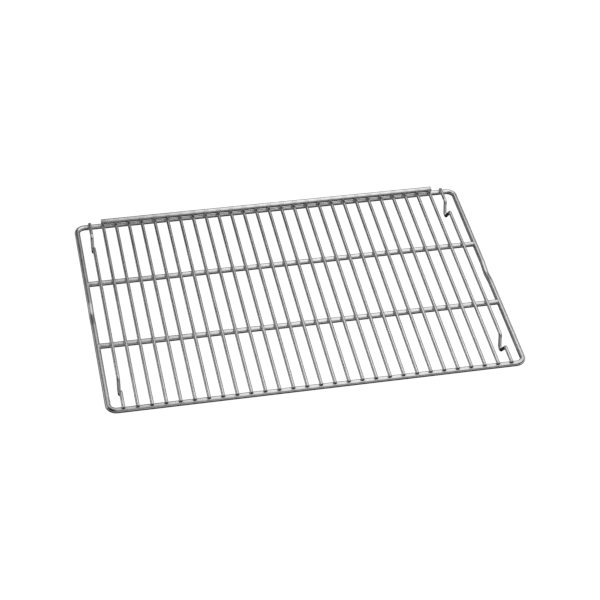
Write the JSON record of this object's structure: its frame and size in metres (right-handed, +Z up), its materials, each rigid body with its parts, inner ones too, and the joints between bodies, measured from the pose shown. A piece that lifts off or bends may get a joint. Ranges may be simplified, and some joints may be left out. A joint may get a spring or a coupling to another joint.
{
  "type": "cooling rack",
  "caption": "Rectangular welded wire bakery rack with V-bent feet and a rear stop rail, for goods to cool on or to slide into a trolley or oven.",
  "frame": {"origin": "on the table under the centre of the rack, level with the tips of the feet", "axes": "+X along the width, +Y from the open edge to the edge with the stop rail, +Z up"},
  "size_m": [0.6, 0.4, 0.0336],
  "materials": {
    "frame_wire": "electropolished",
    "rod_wire": "electropolished",
    "weld": "satin"
  },
  "bodies": {
    "root": {"cross_bar_front": "frame_wire", "cross_bar_front_welds": "weld", "cross_bar_rear": "frame_wire", "cross_bar_rear_welds": "weld", "front_bar_welds": "weld", "left_side_welds": "weld", "perimeter_frame": "frame_wire", "rear_bar_welds": "weld", "rear_stop_rail": "frame_wire", "right_side_welds": "weld", "rod_01": "rod_wire", "rod_02": "rod_wire", "rod_03": "rod_wire", "rod_04": "rod_wire", "rod_05": "rod_wire", "rod_06": "rod_wire", "rod_07": "rod_wire", "rod_08": "rod_wire", "rod_09": "rod_wire", "rod_10": "rod_wire", "rod_11": "rod_wire", "rod_12": "rod_wire", "rod_13": "rod_wire", "rod_14": "rod_wire", "rod_15": "rod_wire", "rod_16": "rod_wire", "rod_17": "rod_wire", "rod_18": "rod_wire", "rod_19": "rod_wire", "rod_20": "rod_wire", "rod_21": "rod_wire", "rod_22": "rod_wire", "rod_23": "rod_wire", "rod_24": "rod_wire", "rod_25": "rod_wire", "rod_26": "rod_wire", "rod_27": "rod_wire", "rod_28": "rod_wire", "rod_29": "rod_wire", "stop_rail_welds": "weld"}
  },
  "joints": []
}
